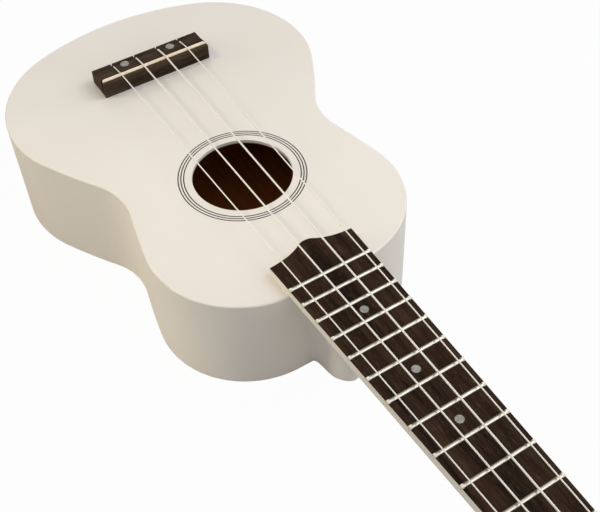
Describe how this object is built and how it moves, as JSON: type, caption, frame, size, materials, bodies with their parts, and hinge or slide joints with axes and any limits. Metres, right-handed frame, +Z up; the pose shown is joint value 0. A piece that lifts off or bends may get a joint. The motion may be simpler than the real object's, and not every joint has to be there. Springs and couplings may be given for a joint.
{
  "type": "soprano ukulele",
  "caption": "Soprano ukulele lying on its back: figure-eight body with a round soundhole, rosewood fingerboard and bridge, nylon strings and worm-geared tuners.",
  "frame": {"origin": "centre of the instrument's bounding box on the plane that it lies on, the back's outside", "axes": "+Y along the neck towards the head, +X across the body towards the A string, +Z up off the back towards the strings"},
  "size_m": [0.1728, 0.5338, 0.071],
  "materials": {
    "cream_paint": "satin lacquer",
    "raw_wood": "unfinished",
    "rosewood": "oiled",
    "inlay_line": "satin",
    "pearl": "gloss",
    "bone": "satin",
    "nickel": "satin",
    "nylon": "gloss",
    "chrome": "polished",
    "brass": "satin",
    "button_plastic": "gloss"
  },
  "bodies": {
    "instrument": {"soundboard": "cream_paint", "rosette": "inlay_line", "back": "cream_paint", "side_bass": "cream_paint", "side_treble": "cream_paint", "neck_block": "raw_wood", "tail_block": "raw_wood", "top_lining": "raw_wood", "back_lining": "raw_wood", "top_braces": "raw_wood", "back_braces": "raw_wood", "bridge_patch": "raw_wood", "neck": "cream_paint", "neck_dowels": "raw_wood", "fingerboard": "rosewood", "frets": "nickel", "position_dots": "pearl", "nut": "bone", "bridge": "rosewood", "saddle": "bone", "bridge_screws": "chrome", "bridge_dots": "pearl", "tuner_bushings": "chrome", "tuner_screws": "chrome", "string_g": "nylon", "string_c": "nylon", "string_e": "nylon", "string_a": "nylon", "tuner_plate_g": "chrome", "tuner_plate_c": "chrome", "tuner_plate_e": "chrome", "tuner_plate_a": "chrome"},
    "key_g": {"worm_shaft_g": "chrome", "button_g": "button_plastic"},
    "post_g": {"string_post_g": "chrome", "drive_gear_g": "brass", "gear_screw_g": "chrome", "winding_g": "nylon"},
    "key_c": {"worm_shaft_c": "chrome", "button_c": "button_plastic"},
    "post_c": {"string_post_c": "chrome", "drive_gear_c": "brass", "gear_screw_c": "chrome", "winding_c": "nylon"},
    "key_e": {"worm_shaft_e": "chrome", "button_e": "button_plastic"},
    "post_e": {"string_post_e": "chrome", "drive_gear_e": "brass", "gear_screw_e": "chrome", "winding_e": "nylon"},
    "key_a": {"worm_shaft_a": "chrome", "button_a": "button_plastic"},
    "post_a": {"string_post_a": "chrome", "drive_gear_a": "brass", "gear_screw_a": "chrome", "winding_a": "nylon"}
  },
  "joints": [
    {"name": "key_turn_g", "type": "hinge", "parent": "instrument", "child": "key_g", "pos_m": [-0.0145, 0.17114, 0.03429], "axis": [-1, 0, 0], "continuous": true},
    {"name": "post_turn_g", "type": "hinge", "parent": "instrument", "child": "post_g", "pos_m": [-0.0145, 0.18052, 0.0475], "axis": [0, 0.1905, 0.9817], "continuous": true},
    {"name": "key_turn_c", "type": "hinge", "parent": "instrument", "child": "key_c", "pos_m": [-0.0145, 0.21629, 0.02553], "axis": [-1, 0, 0], "continuous": true},
    {"name": "post_turn_c", "type": "hinge", "parent": "instrument", "child": "post_c", "pos_m": [-0.0145, 0.22568, 0.03873], "axis": [0, 0.1905, 0.9817], "continuous": true},
    {"name": "key_turn_e", "type": "hinge", "parent": "instrument", "child": "key_e", "pos_m": [0.0145, 0.21629, 0.02553], "axis": [1, 0, 0], "continuous": true},
    {"name": "post_turn_e", "type": "hinge", "parent": "instrument", "child": "post_e", "pos_m": [0.0145, 0.22568, 0.03873], "axis": [0, 0.1905, 0.9817], "continuous": true},
    {"name": "key_turn_a", "type": "hinge", "parent": "instrument", "child": "key_a", "pos_m": [0.0145, 0.17114, 0.03429], "axis": [1, 0, 0], "continuous": true},
    {"name": "post_turn_a", "type": "hinge", "parent": "instrument", "child": "post_a", "pos_m": [0.0145, 0.18052, 0.0475], "axis": [0, 0.1905, 0.9817], "continuous": true}
  ],
  "couplings": [
    {"joint": "post_turn_g", "follows": "key_turn_g", "ratio": -0.083333},
    {"joint": "post_turn_c", "follows": "key_turn_c", "ratio": -0.083333},
    {"joint": "post_turn_e", "follows": "key_turn_e", "ratio": -0.083333},
    {"joint": "post_turn_a", "follows": "key_turn_a", "ratio": -0.083333}
  ]
}
